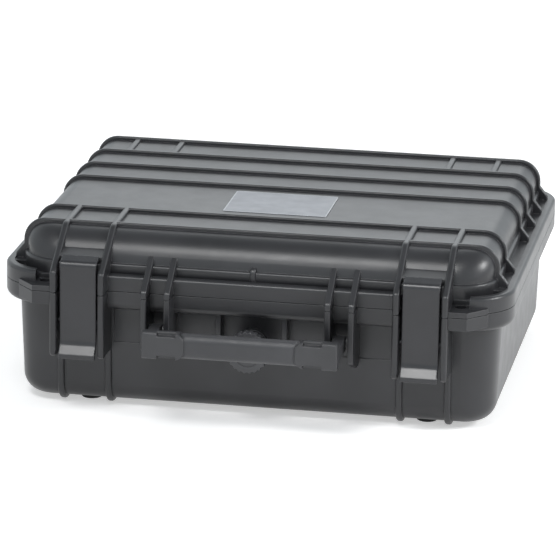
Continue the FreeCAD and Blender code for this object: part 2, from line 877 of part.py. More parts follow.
def handle_end(side, front, back):
    """End block of the handle: flat in front, rounded behind and at its inner end, with two notches."""
    middle_z = handle_pivot_height
    half = bar_height / 2
    length = handle_outer_x - block_inner_x
    section = [
        (front, middle_z - half, bar_round),
        (back, middle_z - half, bar_back_round),
        (back, middle_z + half, bar_back_round),
        (front, middle_z + half, bar_round),
    ]
    end_block = slab(section, "x", side * (block_inner_x + length / 2), length, bar_round)
    face = [
        (side * block_inner_x, middle_z - half, block_inner_round),
        (side * handle_outer_x, middle_z - half, 0),
        (side * handle_outer_x, middle_z + half, 0),
        (side * block_inner_x, middle_z + half, block_inner_round),
    ]
    end_block = end_block.common(slab(face, "y", (front + back) / 2, bar_depth))
    for way in sides.values():
        height = 2 * block_notch_height
        notch = section_about(side * block_notch_x, middle_z + way * half, block_notch_width, height, 0)
        end_block = end_block.cut(slab(notch, "y", front, 2 * block_notch_depth))
    return end_block


def make_handle_frame():
    """Handle with core bar, end blocks and arms back to its pins."""
    front = ahead(handle_reach)
    back = front + bar_depth
    middle_z = handle_pivot_height
    pivot_y = ahead(handle_pivot_proud)
    core = section_about((front + back) / 2, middle_z, core_depth, core_height, core_round)
    boss_length = handle_rib_spacing - handle_rib_thickness - 2 * arm_boss_gap
    pieces = []
    bores = []
    for side in sides.values():
        arm = [
            (pivot_y, middle_z - arm_radius, 0),
            (back - bar_round, middle_z - arm_root_height / 2, 0),
            (back - bar_round, middle_z + arm_root_height / 2, 0),
            (pivot_y, middle_z + arm_radius, 0),
        ]
        pivot = Vector(side * handle_x, pivot_y, middle_z)
        pieces.append(handle_end(side, front, back))
        pieces.append(slab(arm, "x", side * handle_x, arm_thickness))
        pieces.append(rod("x", pivot, arm_radius, arm_thickness))
        pieces.append(rod("x", pivot, arm_boss_radius, boss_length))
        bores.append(rod("x", pivot, handle_pin_radius + running_fit, handle_rib_spacing))
    frame = slab(core, "x", 0, 2 * grip_end_x).fuse(pieces)
    return frame.cut(bores).removeSplitter()


def make_handle_grip(frame):
    """Smooth sleeve on the handle's core, running up to the end blocks."""
    y = ahead(handle_reach) + bar_depth / 2
    section = section_about(y, handle_pivot_height, grip_depth, grip_height, grip_round)
    sleeve = slab(section, "x", 0, 2 * grip_end_x).cut(frame)
    return max(sleeve.Solids, key=lambda solid: solid.Volume)


def make_handle_pin(side):
    """Pin through one pair of handle ribs."""
    pivot = Vector(side * handle_x, ahead(handle_pivot_proud), handle_pivot_height)
    return rod("x", pivot, handle_pin_radius, handle_rib_spacing + handle_rib_thickness)


def make_valve_gasket():
    """Flat ring under the valve's flange."""
    front = ahead(valve_boss_proud + valve_gasket_thickness)
    gasket = rod_between(valve_flange_radius, front, ahead(valve_boss_proud), valve_height)
    return gasket.cut(rod_between(valve_neck_radius + fixed_fit, ahead(0), 0, valve_height))


def make_valve_body():
    """Flanged tube through the base's front wall."""
    seat = ahead(valve_boss_proud + valve_gasket_thickness)
    flange = rod_between(valve_flange_radius, seat - valve_flange_thickness, seat, valve_height)
    tail = ahead(valve_inner_seat_proud) + valve_neck_tail
    neck = rod_between(valve_neck_radius, ahead(valve_neck_proud), tail, valve_height)
    bore = rod_between(stem_radius + running_fit, ahead(knob_proud), 0, valve_height)
    return flange.fuse(neck).cut(bore).removeSplitter()


def make_valve_nut():
    """Nut that holds the valve from inside."""
    low = ahead(valve_inner_seat_proud)
    corners = []
    for index in range(valve_nut_sides):
        turn = 2 * math.pi * index / valve_nut_sides
        rise = valve_nut_radius * math.sin(turn)
        corners.append((valve_nut_radius * math.cos(turn), valve_height + rise, 0))
    nut = slab(corners, "y", low + valve_nut_thickness / 2, valve_nut_thickness)
    return nut.cut(rod_between(valve_neck_radius + fixed_fit, rim_front, 0, valve_height))


def make_valve_stem():
    """Sliding stem with the collar that carries its sealing ring."""
    collar_back = ahead(valve_neck_proud + stem_ring_thickness)
    collar_front = collar_back - stem_collar_thickness
    stem = rod_between(stem_radius, collar_front - stem_lap, collar_back + stem_tail, valve_height)
    collar = rod_between(stem_collar_radius, collar_front, collar_back, valve_height)
    return stem.fuse(collar).removeSplitter()


def make_valve_stem_ring():
    """Ring that closes the mouth of the valve's tube."""
    back = ahead(valve_neck_proud)
    band = rod_between(stem_collar_radius, back - stem_ring_thickness, back, valve_height)
    return band.cut(rod_between(stem_radius + fixed_fit, ahead(knob_proud), 0, valve_height))


def make_valve_knob():
    """Scalloped knob that turns on the stem, over the valve's neck."""
    front = ahead(knob_proud)
    disc = rod_between(knob_radius, front, front + knob_disc_thickness, valve_height)
    rim_edges = [edge for edge in disc.Edges if edge.Closed]
    disc = disc.makeFillet(knob_face_round, rim_edges)
    hub_back = ahead(valve_boss_proud + valve_gasket_thickness) - valve_flange_thickness - knob_flange_gap
    hub = rod_between(knob_hub_radius, front + knob_disc_thickness / 2, hub_back, valve_height)
    collar_front = ahead(valve_neck_proud + stem_ring_thickness) - stem_collar_thickness
    cuts = [
        rod_between(valve_neck_radius + running_fit, collar_front - knob_collar_gap, 0, valve_height),
        rod_between(stem_radius + running_fit, collar_front - stem_lap - knob_collar_gap, 0, valve_height),
        rod_between(knob_dish_radius, front - overrun, front + knob_dish_depth, valve_height),
    ]
    reach = knob_radius + knob_scallop_radius - knob_scallop_depth
    for index in range(knob_scallop_count):
        turn = 2 * math.pi * index / knob_scallop_count
        z = valve_height + reach * math.cos(turn)
        x = reach * math.sin(turn)
        scallop_back = front + knob_disc_thickness + overrun
        cuts.append(rod_between(knob_scallop_radius, front - overrun, scallop_back, z, x))
    return disc.fuse(hub).cut(cuts).removeSplitter()


def base_foam(low, high):
    """Stretch of the base's inside between two heights, clear of the walls."""
    inset = base_wall + foam_gap
    form = drafted_block(inset, base_low + base_floor, split_height, base_bottom_round - base_wall)
    near = Vector(-base_width / 2, -base_depth / 2, low)
    far = Vector(base_width / 2, base_depth / 2, high)
    return form.common(box_between(near, far))


def make_base_pad():
    """Foam sheet on the base's floor."""
    low = base_low + base_floor
    return base_foam(low, low + pad_thickness)


def make_pluck_foam():
    """Foam block with a pocket that follows its cube grid, and room for the valve's nut."""
    high = split_height - pluck_headroom
    foam = base_foam(base_low + base_floor + pad_thickness, high)
    half_x = pocket_columns * pluck_cell / 2
    half_y = pocket_rows * pluck_cell / 2
    floor_z = high - pocket_depth_cells * pluck_cell
    pocket = box_between(Vector(-half_x, -half_y, floor_z), Vector(half_x, half_y, high + overrun))
    stem_back = ahead(valve_neck_proud + stem_ring_thickness) + stem_tail
    neck_back = ahead(valve_inner_seat_proud) + valve_neck_tail
    room_back = max(stem_back, neck_back) + nut_room
    room = rod_between(valve_inner_boss_radius + nut_room, rim_front, room_back, valve_height)
    return foam.cut([pocket, room])


def make_lid_foam():
    """Foam block under the lid's crown."""
    top = lid_top - lid_wall - foam_gap
    return dome(lid_wall + foam_gap, top - lid_foam_thickness, top)


def make_nodes():
    """All solids by node name."""
    handle_frame = make_handle_frame()
    nodes = {
        "base_shell": make_base_shell(),
        "lid_shell": make_lid_shell(),
        "lid_seal": make_seal(),
        "name_plate": make_name_plate(),
        "rubber_feet": make_feet(),
        "handle_frame": handle_frame,
        "handle_grip": make_handle_grip(handle_frame),
        "valve_gasket": make_valve_gasket(),
        "valve_body": make_valve_body(),
        "valve_nut": make_valve_nut(),
        "valve_stem": make_valve_stem(),
        "valve_stem_ring": make_valve_stem_ring(),
        "valve_knob": make_valve_knob(),
        "base_pad_foam": make_base_pad(),
        "pluck_foam": make_pluck_foam(),
        "lid_foam": make_lid_foam(),
    }
    for name, side in sides.items():
        pivot_pin, lever_pin = make_latch_pins(side)
        nodes["latch_lever_" + name] = make_lever(side)
        nodes["latch_link_" + name] = make_link(side)
        nodes["latch_pivot_pin_" + name] = pivot_pin
        nodes["latch_lever_pin_" + name] = lever_pin
        nodes["hinge_pin_" + name] = make_hinge_pin(side)
        nodes["handle_pin_" + name] = make_handle_pin(side)
    return nodes


os.makedirs("parts", exist_ok=True)
for node, shape in make_nodes().items():
    shape.translate(frame_shift)
    print(node, shape.ShapeType, len(shape.Solids), shape.isValid(), round(shape.Volume))
    shape.exportStep("parts/" + node + ".step")
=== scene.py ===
"""Studio scene of the moulded instrument case: finishes, cube foam, light, floor and camera."""
import json
import math
import random

import bmesh
import bpy
from mathutils import Matrix, Vector


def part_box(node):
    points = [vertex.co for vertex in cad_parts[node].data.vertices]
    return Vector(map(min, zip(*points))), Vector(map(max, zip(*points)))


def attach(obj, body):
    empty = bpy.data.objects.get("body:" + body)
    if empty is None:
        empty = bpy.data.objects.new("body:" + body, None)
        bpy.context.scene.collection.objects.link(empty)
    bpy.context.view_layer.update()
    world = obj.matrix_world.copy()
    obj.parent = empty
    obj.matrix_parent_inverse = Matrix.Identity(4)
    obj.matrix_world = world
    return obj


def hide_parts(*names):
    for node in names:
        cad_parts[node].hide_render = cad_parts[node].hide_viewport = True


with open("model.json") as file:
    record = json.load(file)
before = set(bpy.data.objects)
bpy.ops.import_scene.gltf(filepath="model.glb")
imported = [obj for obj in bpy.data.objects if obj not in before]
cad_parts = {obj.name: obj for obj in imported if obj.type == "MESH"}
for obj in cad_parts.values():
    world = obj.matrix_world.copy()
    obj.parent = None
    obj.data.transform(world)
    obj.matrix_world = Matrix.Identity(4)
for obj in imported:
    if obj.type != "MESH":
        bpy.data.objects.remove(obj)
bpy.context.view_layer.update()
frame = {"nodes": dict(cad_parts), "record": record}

# Camera: metres, degrees, and millimetres for the lens and sensor
camera_place = Vector((0.5821, -3.3118, 1.0733))
camera_target = Vector((0.0204, -0.1400, 0.1189))
camera_roll = 0.84
camera_lens = 260.7
camera_sensor = 36.0
camera_reach = 100.0

# Light and surroundings
floor_size = 30.0
floor_colour = (0.86, 0.86, 0.86, 1.0)
floor_glow = 0.47
white = (1.0, 1.0, 1.0, 1.0)
cool_white = (0.90, 0.965, 1.0, 1.0)
backdrop_strength = 1.15
fill_strength = 0.42
ceiling_strength = 0.40
ceiling_start = 0.55
ceiling_end = 0.88
floor_roughness = 0.9
lamps = {
    "front_softbox": {
        "place": (-0.30, -1.45, 2.00), "target": (0.0, -0.1, 0.1), "size": 0.8, "power": 23.0,
    },
    "back_softbox": {
        "place": (-0.10, 2.20, 1.55), "target": (0.0, 0.0, 0.15), "size": 1.4, "power": 6.5,
    },
    "right_softbox": {
        "place": (1.80, -0.25, 1.15), "target": (0.1, 0.0, 0.1), "size": 0.55, "power": 25.0,
    },
}

# Finishes: shades, roughness, and lengths in metres; stretch and grain count cells per metre
# The lighter edge shade of each plastic stands partly for wear and partly for painted highlight
plastics = {
    "shell_plastic": {
        "dark": (0.019, 0.019, 0.021), "light": (0.027, 0.027, 0.030), "wear_and_highlight": (0.115, 0.115, 0.121),
        "rough": 0.34, "grain": 2600.0, "grain_strength": 0.045, "edge_round": 0.0006,
    },
    "latch_plastic": {
        "dark": (0.022, 0.022, 0.025), "light": (0.030, 0.030, 0.034), "wear_and_highlight": (0.110, 0.110, 0.116),
        "rough": 0.24, "grain": 3200.0, "grain_strength": 0.04, "edge_round": 0.0015,
    },
    "handle_plastic": {
        "dark": (0.036, 0.036, 0.039), "light": (0.050, 0.050, 0.054), "wear_and_highlight": (0.120, 0.120, 0.126),
        "rough": 0.34, "grain": 1900.0, "grain_strength": 0.18, "edge_round": 0.0020,
    },
    "valve_plastic": {
        "dark": (0.046, 0.046, 0.050), "light": (0.061, 0.061, 0.066), "wear_and_highlight": (0.130, 0.130, 0.137),
        "rough": 0.30, "grain": 2800.0, "grain_strength": 0.08, "edge_round": 0.0006,
    },
}
rubbers = {
    "grip_rubber": {
        "dark": (0.040, 0.040, 0.044), "light": (0.053, 0.053, 0.058),
        "rough": 0.40, "sheen": 0.05, "edge_round": 0.0045,
    },
    "seal_rubber": {
        "dark": (0.018, 0.018, 0.018), "light": (0.032, 0.032, 0.032),
        "rough": 0.70, "sheen": 0.08, "edge_round": 0.0006,
    },
    "foot_rubber": {
        "dark": (0.014, 0.014, 0.014), "light": (0.026, 0.026, 0.026),
        "rough": 0.75, "sheen": 0.06, "edge_round": 0.0010,
    },
}
metals = {
    "plate_metal": {
        "dark": (0.20, 0.205, 0.22), "light": (0.27, 0.275, 0.295),
        "rough": 0.42, "stretch": (40.0, 2400.0, 2400.0), "strength": 0.10, "rubbed_and_highlight_reach": 0.0020,
    },
    "pin_steel": {
        "dark": (0.045, 0.045, 0.048), "light": (0.085, 0.085, 0.090),
        "rough": 0.34, "stretch": (3000.0, 120.0, 120.0), "strength": 0.12, "rubbed_and_highlight_reach": 0.0002,
    },
}
foam_shades = {"dark": (0.020, 0.020, 0.022), "light": (0.060, 0.060, 0.064)}

# Textures of all finishes
noise_detail = 3.0
noise_roughness = 0.55
noise_low = 0.35
noise_high = 0.65
fine_detail = 2.0
soft_detail = 4.0
bevel_samples = 4
edge_start = 0.75
edge_end = 0.985

# Texture of the plastics
flow_scale = 14.0
# Edges lightened towards the edge shade: partly wear, partly painted highlight
wear_highlight_reach = 0.0010
wear_highlight_scale = 95.0
wear_highlight_low = 0.55
wear_highlight_high = 0.80
plastic_smear_scale = 55.0
plastic_smear_detail = 5.0
plastic_smear = 0.02
stipple_depth = 0.0002
plastic_ior = 1.5
plastic_gloss = 0.5
# Painted shade: creases and gaps darken towards near black, with less gloss, by an occlusion mask
crease_reach = 0.0016
crease_samples = 6
crease_start = 0.22
crease_end = 0.62
painted_crease_shade = (0.004, 0.004, 0.005, 1.0)

# Texture of the rubbers
bloom_scale = 26.0
rubber_smear_scale = 70.0
rubber_smear = 0.06
pit_scale = 1800.0
pit_strength = 0.12
pit_depth = 0.0002

# Texture of the metals
brush_scale = 1.0
metal_cloud_scale = 60.0
brush_start = 0.75
brush_end = 1.25
brush_smoother = 0.06
brush_rougher = 0.08
brush_depth = 0.0001
# Edge colour of the metals: partly rubbed metal, partly painted highlight
rubbed_and_highlight_edge = (0.60, 0.61, 0.63, 1.0)

# Texture of the foam
pore_scale = 900.0
foam_cloud_scale = 40.0
pore_start = 0.05
pore_end = 0.40
pore_strength = 0.55
pore_depth = 0.0006
foam_rough_low = 0.88
foam_rough_high = 1.0
foam_sheen = 0.12
foam_gloss = 0.2

# Foam set: lengths in metres, an angle in radians, counts and shares
foam_cell = 0.015
foam_slit = 0.0007
foam_columns = 23
foam_rows = 18
pocket_columns = 13
pocket_rows = 8
pocket_cells_deep = 4
cube_corner = 0.0011
cube_crown = 0.0010
cube_lift = 0.0003
crown_step_share = 0.35
crown_inset_share = 0.28
cube_tilt_share = 0.5
foam_edge = 0.0020
foam_edge_steps = 3
foam_corner = 0.0256
wall_draft = math.tan(math.radians(2.2))
pad_round = 0.0125
nut_room_radius = 0.018
nut_room_depth = 0.030
nut_room_height = 0.0652
crate_pitch = 0.0365
crate_depth = 0.0190
crate_border = 0.012
crate_step = 0.0046
lid_foam_corner = 0.0291
lid_foam_front_round = 0.0250
lid_foam_side_round = 0.0130
lid_shoulder_share = 0.75
cut_tolerance = 1e-7
smooth_angle = 0.7
arc_steps = 8
foam_seed = 7
random.seed(foam_seed)


def node(tree, kind, inputs=None, **settings):
    """Adds one shader node, with its settings, and its inputs as values or links."""
    made = tree.nodes.new(kind)
    for name, value in settings.items():
        setattr(made, name, value)
    for name, value in (inputs or {}).items():
        if isinstance(value, bpy.types.NodeSocket):
            tree.links.new(value, made.inputs[name])
        else:
            made.inputs[name].default_value = value
    return made


def noise(tree, place, scale, detail=noise_detail):
    """Noise texture at so many cells per metre."""
    inputs = {"Vector": place, "Scale": scale, "Detail": detail, "Roughness": noise_roughness}
    return node(tree, "ShaderNodeTexNoise", inputs).outputs["Fac"]


def ranged(tree, value, low, high, start=noise_low, end=noise_high):
    """A texture's middle values stretched from low to high."""
    inputs = {"Value": value, "From Min": start, "From Max": end, "To Min": low, "To Max": high}
    return node(tree, "ShaderNodeMapRange", inputs).outputs["Result"]


def shaded(tree, value, dark, light):
    """Colour between two shades by a value from 0 to 1."""
    ramp = node(tree, "ShaderNodeValToRGB", {"Fac": value})
    ramp.color_ramp.elements[0].color = (*dark, 1.0)
    ramp.color_ramp.elements[1].color = (*light, 1.0)
    return ramp.outputs["Color"]


def joined(tree, operation, first, second):
    """Two values put together by a sum or the like."""
    return node(tree, "ShaderNodeMath", {0: first, 1: second}, operation=operation).outputs[0]


def blended(tree, factor, first, second):
    """Mix of two colours by a factor."""
    mix = node(tree, "ShaderNodeMix", data_type="RGBA")
    for socket, value in ((mix.inputs[0], factor), (mix.inputs[6], first), (mix.inputs[7], second)):
        if isinstance(value, bpy.types.NodeSocket):
            tree.links.new(value, socket)
        else:
            socket.default_value = value
    return mix.outputs[2]


def rounded(tree, radius):
    """Normal of a piece as if its edges were rounded to a radius."""
    return node(tree, "ShaderNodeBevel", {"Radius": radius}, samples=bevel_samples).outputs["Normal"]


def edge_mask(tree, radius):
    """Share from 0 on flat faces to 1 along the edges of a piece."""
    plain = node(tree, "ShaderNodeNewGeometry").outputs["Normal"]
    links = {0: rounded(tree, radius), 1: plain}
    dot = node(tree, "ShaderNodeVectorMath", links, operation="DOT_PRODUCT")
    return ranged(tree, dot.outputs["Value"], 1.0, 0.0, start=edge_start, end=edge_end)


def crease_shade_mask(tree):
    """Share from 0 deep in creases and gaps, where shade is painted, to 1 on open faces."""
    around = node(tree, "ShaderNodeAmbientOcclusion", {"Distance": crease_reach}, samples=crease_samples)
    return ranged(tree, around.outputs["AO"], 0.0, 1.0, start=crease_start, end=crease_end)


def bumped(tree, height, strength, distance, below=None):
    """Normal disturbed by a height, over another normal if one is given."""
    inputs = {"Height": height, "Strength": strength, "Distance": distance}
    if below is not None:
        inputs["Normal"] = below
    return node(tree, "ShaderNodeBump", inputs).outputs["Normal"]


def new_material(name):
    """Empty material with a principled shader, its tree and its object coordinates."""
    material = bpy.data.materials.new(name)
    material.use_nodes = True
    tree = material.node_tree
    shader = tree.nodes["Principled BSDF"]
    place = node(tree, "ShaderNodeTexCoord").outputs["Object"]
    return material, tree, shader, place


def moulded_plastic(name, dark, light, wear_and_highlight, rough, grain, grain_strength, edge_round):
    """Moulded plastic: fine stipple, cloudy flow marks, rounded edges lightened partly by wear and partly
    by painted highlight, painted shade in creases.
    """
    material, tree, shader, place = new_material(name)
    cloud = ranged(tree, noise(tree, place, flow_scale), 0.0, 1.0)
    patch = ranged(tree, noise(tree, place, wear_highlight_scale), wear_highlight_low, wear_highlight_high)
    # Lighter edges: partly wear, partly painted highlight
    wear_and_highlight_share = joined(tree, "MULTIPLY", edge_mask(tree, wear_highlight_reach), patch)
    colour = blended(tree, wear_and_highlight_share, shaded(tree, cloud, dark, light), (*wear_and_highlight, 1.0))
    # Painted shade: colour darkened and gloss lowered in creases and gaps, where occlusion falls
    unshaded_share = crease_shade_mask(tree)
    tree.links.new(blended(tree, unshaded_share, painted_crease_shade, colour), shader.inputs["Base Color"])
    gloss = ranged(tree, unshaded_share, 0.0, plastic_gloss, start=0.0, end=1.0)
    tree.links.new(gloss, shader.inputs["Specular IOR Level"])
    smear = noise(tree, place, plastic_smear_scale, detail=plastic_smear_detail)
    roughness = ranged(tree, smear, rough - plastic_smear, rough + plastic_smear)
    tree.links.new(roughness, shader.inputs["Roughness"])
    stipple = noise(tree, place, grain, detail=fine_detail)
    normal = bumped(tree, stipple, grain_strength, stipple_depth, rounded(tree, edge_round))
    tree.links.new(normal, shader.inputs["Normal"])
    shader.inputs["IOR"].default_value = plastic_ior
    return material


def soft_rubber(name, dark, light, rough, sheen, edge_round):
    """Smooth rubber with a faint bloom and fine pits."""
    material, tree, shader, place = new_material(name)
    bloom = ranged(tree, noise(tree, place, bloom_scale, detail=soft_detail), 0.0, 1.0)
    tree.links.new(shaded(tree, bloom, dark, light), shader.inputs["Base Color"])
    smear = noise(tree, place, rubber_smear_scale, detail=soft_detail)
    roughness = ranged(tree, smear, rough - rubber_smear, rough + rubber_smear)
    tree.links.new(roughness, shader.inputs["Roughness"])
    pits = noise(tree, place, pit_scale, detail=fine_detail)
    normal = bumped(tree, pits, pit_strength, pit_depth, rounded(tree, edge_round))
    tree.links.new(normal, shader.inputs["Normal"])
    shader.inputs["Sheen Weight"].default_value = sheen
    return material


def brushed_metal(name, dark, light, rough, stretch, strength, rubbed_and_highlight_reach):
    """Metal with brushed lines along the axis whose stretch is small, and edges lightened partly by
    rubbing and partly by painted highlight.
    """
    material, tree, shader, place = new_material(name)
    lines_place = node(tree, "ShaderNodeMapping", {"Vector": place, "Scale": stretch}).outputs["Vector"]
    lines = noise(tree, lines_place, brush_scale, detail=soft_detail)
    both = joined(tree, "ADD", lines, noise(tree, place, metal_cloud_scale))
    tone = ranged(tree, both, 0.0, 1.0, start=brush_start, end=brush_end)
    # Lighter edges: partly rubbed metal, partly painted highlight
    colour = blended(tree, edge_mask(tree, rubbed_and_highlight_reach), shaded(tree, tone, dark, light), rubbed_and_highlight_edge)
    tree.links.new(colour, shader.inputs["Base Color"])
    roughness = ranged(tree, lines, rough - brush_smoother, rough + brush_rougher)
    tree.links.new(roughness, shader.inputs["Roughness"])
    tree.links.new(bumped(tree, lines, strength, brush_depth), shader.inputs["Normal"])
    shader.inputs["Metallic"].default_value = 1.0
    return material


def open_cell_foam(name, dark, light):
    """Charcoal open-cell foam: pores, walls between them and a dusty sheen."""
    material, tree, shader, place = new_material(name)
    pores = node(tree, "ShaderNodeTexVoronoi", {"Vector": place, "Scale": pore_scale}).outputs["Distance"]
    cloud = noise(tree, place, foam_cloud_scale, detail=soft_detail)
    both = joined(tree, "MULTIPLY", pores, cloud)
    tone = ranged(tree, both, 0.0, 1.0, start=pore_start, end=pore_end)
    tree.links.new(shaded(tree, tone, dark, light), shader.inputs["Base Color"])
    tree.links.new(ranged(tree, cloud, foam_rough_low, foam_rough_high), shader.inputs["Roughness"])
    tree.links.new(bumped(tree, pores, pore_strength, pore_depth), shader.inputs["Normal"])
    shader.inputs["Sheen Weight"].default_value = foam_sheen
    shader.inputs["Specular IOR Level"].default_value = foam_gloss
    return material


def make_materials():
    """One material for each slot of the record."""
    made = {}
    for kind, finishes in ((moulded_plastic, plastics), (soft_rubber, rubbers), (brushed_metal, metals)):
        for name, facts in finishes.items():
            made[name] = kind(name, **facts)
    made["foam"] = open_cell_foam("foam", **foam_shades)
    return made


def dress_nodes(materials):
    """Gives every node of the frame the material of its slot."""
    for part in frame["record"]["subparts"]:
        held = frame["nodes"][part["node"]].data.materials
        held.clear()
        held.append(materials[part["material_slot"]])


def outline(half_x, half_y, corner, middle_y=0.0):
    """Points round a rounded rectangle, anticlockwise."""
    points = []
    for quarter, (sign_x, sign_y) in enumerate(((1, 1), (-1, 1), (-1, -1), (1, -1))):
        for step in range(arc_steps + 1):
            turn = (quarter + step / arc_steps) * math.pi / 2
            x = sign_x * (half_x - corner) + corner * math.cos(turn)
            y = sign_y * (half_y - corner) + corner * math.sin(turn)
            points.append((x, y + middle_y))
    return points


def loft(mesh, rings):
    """Joins rings of equal count into one closed skin, from the lowest to the highest."""
    rows = [[mesh.verts.new(point) for point in ring] for ring in rings]
    count = len(rows[0])
    for below, above in zip(rows, rows[1:]):
        for index in range(count):
            after = (index + 1) % count
            mesh.faces.new((below[index], below[after], above[after], above[index]))
    mesh.faces.new(list(reversed(rows[0])))
    mesh.faces.new(rows[-1])


def piece_from(mesh, name, material):
    """Object made of a finished mesh, with smooth shading up to an angle."""
    bmesh.ops.recalc_face_normals(mesh, faces=mesh.faces)
    data = bpy.data.meshes.new(name)
    mesh.to_mesh(data)
    mesh.free()
    data.materials.append(material)
    data.shade_smooth()
    data.set_sharp_from_angle(angle=smooth_angle)
    piece = bpy.data.objects.new(name, data)
    bpy.context.scene.collection.objects.link(piece)
    return piece


def declare_foam(piece, body, cad_node):
    """Says that a foam piece rides on a body and stands for a node of the frame."""
    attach(piece, body)
    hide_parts(cad_node)


def carve(piece, cutter):
    """Takes a closed cutter out of a piece and removes the cutter."""
    cut = piece.modifiers.new("carve", "BOOLEAN")
    cut.operation = "DIFFERENCE"
    cut.solver = "EXACT"
    cut.object = cutter
    shown = bpy.context.evaluated_depsgraph_get()
    carved = bpy.data.meshes.new_from_object(piece.evaluated_get(shown))
    piece.modifiers.clear()
    piece.data = carved
    bpy.data.objects.remove(cutter)


def rounded_rings(low, high, corner, draft, edge):
    """Rings of a drafted foam block with soft upper and lower edges."""
    middle = (low + high) / 2
    half_x = (high.x - low.x) / 2
    half_y = (high.y - low.y) / 2
    levels = []
    for step in range(foam_edge_steps + 1):
        turn = step / foam_edge_steps * math.pi / 2
        levels.append((low.z + edge * (1 - math.sin(turn)), edge * (1 - math.cos(turn))))
    levels = list(reversed(levels)) + [(high.z - level + low.z, inset) for level, inset in levels]
    rings = []
    for level, inset in sorted(levels):
        draw = inset + (high.z - level) * draft
        points = outline(half_x - draw, half_y - draw, corner - draw, middle.y)
        rings.append([(x + middle.x, y, level) for x, y in points])
    return rings


def make_base_pad(material):
    """Foam sheet on the floor of the base, rounded where the walls meet the floor."""
    low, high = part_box("base_pad_foam")
    half_x = (high.x - low.x) / 2
    half_y = (high.y - low.y) / 2
    rings = []
    for step in range(arc_steps + 1):
        level = low.z + (high.z - low.z) * step / arc_steps
        rise = pad_round - (level - low.z)
        inset = pad_round - math.sqrt(pad_round ** 2 - rise ** 2)
        points = outline(half_x - inset, half_y - inset, foam_corner - inset, (low.y + high.y) / 2)
        rings.append([(x, y, level) for x, y in points])
    mesh = bmesh.new()
    loft(mesh, rings)
    declare_foam(piece_from(mesh, "base_pad_sheet", material), "base", "base_pad_foam")


def foam_cube(mesh, x, y, low, high):
    """One cube column of the foam, with a soft crown and a slightly random stance."""
    half = (foam_cell - foam_slit) / 2
    lift = random.uniform(-cube_lift, 0.0)
    tilt_x = random.uniform(-cube_lift, cube_lift) / half
    tilt_y = random.uniform(-cube_lift, cube_lift) / half
    levels = [
        (low, 0.0),
        (high - cube_crown - cube_lift, 0.0),
        (high - cube_crown * crown_step_share - cube_lift, cube_crown * crown_inset_share),
        (high - cube_lift, cube_crown),
    ]
    rings = []
    for level, inset in levels:
        ring = []
        for sign_x, sign_y in ((1, 1), (-1, 1), (-1, -1), (1, -1)):
            near = half - inset
            bend = near - cube_corner
            corner = [(near, bend), (bend, near)] if sign_x == sign_y else [(bend, near), (near, bend)]
            for dx, dy in corner:
                dx *= sign_x
                dy *= sign_y
                lean = (dx * tilt_x + dy * tilt_y) * cube_tilt_share
                rise = lift + lean if level > low else 0.0
                ring.append((x + dx, y + dy, level + min(rise, cube_lift)))
        rings.append(ring)
    loft(mesh, rings)


def make_pluck_foam(material):
    """Cube foam: an uncut border and floor, with rows of cubes round the empty pocket."""
    low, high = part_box("pluck_foam")
    middle_y = (low.y + high.y) / 2
    floor_z = high.z - pocket_cells_deep * foam_cell
    field_x = foam_columns * foam_cell / 2
    field_y = foam_rows * foam_cell / 2
    mesh = bmesh.new()
    loft(mesh, rounded_rings(low, high, foam_corner, wall_draft, foam_edge))
    border = piece_from(mesh, "pluck_foam_block", material)
    carve(border, box_cutter(field_x, field_y, middle_y, floor_z, high.z + foam_cell))
    carve(border, nut_cutter(low.y))
    cubes = bmesh.new()
    cubes.from_mesh(border.data)
    for column in range(foam_columns):
        for row in range(foam_rows):
            x = (column + 0.5) * foam_cell - field_x
            y = (row + 0.5) * foam_cell - field_y
            inside_x = abs(x) < pocket_columns * foam_cell / 2
            inside_y = abs(y) < pocket_rows * foam_cell / 2
            if not (inside_x and inside_y):
                foam_cube(cubes, x, y + middle_y, floor_z + foam_slit, high.z)
    bpy.data.objects.remove(border)
    declare_foam(piece_from(cubes, "pluck_foam_cubes", material), "base", "pluck_foam")


def box_cutter(half_x, half_y, middle_y, low, high):
    """Closed box for carving."""
    mesh = bmesh.new()
    corners = [(half_x, half_y), (-half_x, half_y), (-half_x, -half_y), (half_x, -half_y)]
    loft(mesh, [[(x, y + middle_y, level) for x, y in corners] for level in (low, high)])
    return piece_from(mesh, "carving_box", None)


def nut_cutter(front_y):
    """Closed cylinder for the room round the valve's nut."""
    mesh = bmesh.new()
    count = 4 * arc_steps
    rings = []
    for y in (front_y - nut_room_depth, front_y + nut_room_depth):
        turns = [2 * math.pi * step / count for step in range(count)]
        rings.append([
            (nut_room_radius * math.cos(turn), y, nut_room_height + nut_room_radius * math.sin(turn))
            for turn in turns
        ])
    loft(mesh, rings)
    return piece_from(mesh, "carving_rod", None)


def crate_height(x, y, edge):
    """Depth of the egg-crate hollows below the peaks, fading to none at the border."""
    wave = math.cos(2 * math.pi * x / crate_pitch) * math.cos(2 * math.pi * y / crate_pitch)
    return crate_depth * (0.5 - 0.5 * wave) * min(1.0, max(0.0, edge / crate_border))


